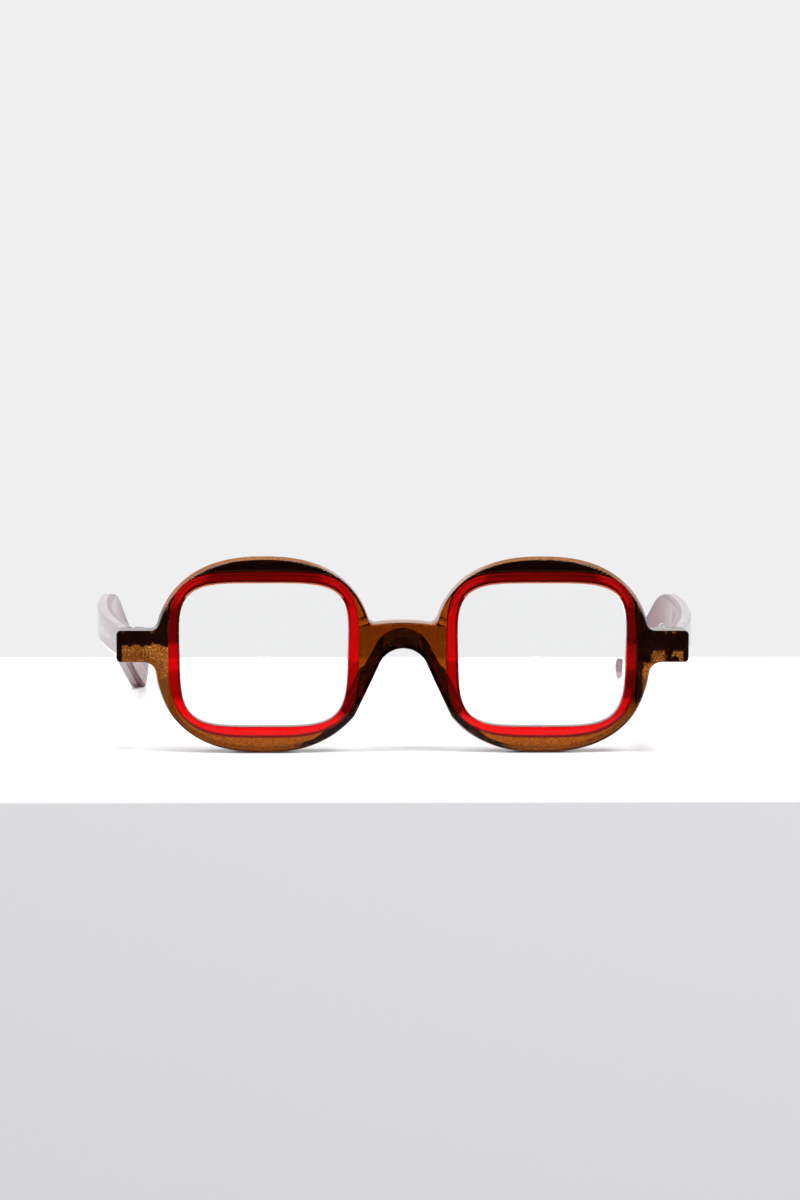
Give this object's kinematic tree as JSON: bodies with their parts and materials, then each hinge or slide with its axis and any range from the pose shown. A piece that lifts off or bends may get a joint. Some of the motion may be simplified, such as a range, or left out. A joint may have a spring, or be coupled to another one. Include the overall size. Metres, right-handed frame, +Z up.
{
  "type": "spectacles",
  "caption": "Thick acetate spectacles with round-square rims, red inner rims and folding two-layer temples.",
  "frame": {"origin": "on the surface the spectacles rest on, under the middle of their width and of their depth with the temples open", "axes": "+Z up, -Y is the way the front faces, +X is the wearer's left"},
  "size_m": [0.1508, 0.135, 0.0478],
  "materials": {
    "brown_acetate": "polished translucent amber-brown cellulose acetate",
    "red_acetate": "polished translucent red cellulose acetate",
    "lens_clear": "clear polished lens",
    "pad_acetate": "polished translucent brown acetate",
    "hinge_metal": "nickel silver, satin",
    "rivet_metal": "nickel silver, plain",
    "screw_metal": "bright steel",
    "crystal_acetate": "polished crystal acetate with a faint lilac tint",
    "temple_red_acetate": "polished translucent wine-red acetate",
    "wire_metal": "drawn nickel silver wire"
  },
  "bodies": {
    "front": {"front_frame": "brown_acetate", "inner_rim_right": "red_acetate", "inner_rim_left": "red_acetate", "lens_right": "lens_clear", "lens_left": "lens_clear", "nose_pad_right": "pad_acetate", "nose_pad_left": "pad_acetate", "front_hinge_leaf_right": "hinge_metal", "front_hinge_leaf_left": "hinge_metal", "front_hinge_rivets_right": "rivet_metal", "front_hinge_rivets_left": "rivet_metal", "hinge_screw_right": "screw_metal", "hinge_screw_left": "screw_metal"},
    "temple_right": {"temple_hinge_leaf_right": "hinge_metal", "temple_hinge_rivets_right": "rivet_metal", "temple_outer_right": "crystal_acetate", "temple_inner_right": "temple_red_acetate", "core_wire_right": "wire_metal"},
    "temple_left": {"temple_hinge_leaf_left": "hinge_metal", "temple_hinge_rivets_left": "rivet_metal", "temple_outer_left": "crystal_acetate", "temple_inner_left": "temple_red_acetate", "core_wire_left": "wire_metal"}
  },
  "joints": [
    {"name": "right_temple_fold", "type": "hinge", "parent": "front", "child": "temple_right", "pos_m": [-0.064, -0.0586, 0.02605], "axis": [0, 0, -1], "range_deg": [0, 82]},
    {"name": "left_temple_fold", "type": "hinge", "parent": "front", "child": "temple_left", "pos_m": [0.064, -0.0586, 0.02605], "axis": [0, 0, 1], "range_deg": [0, 90]}
  ]
}
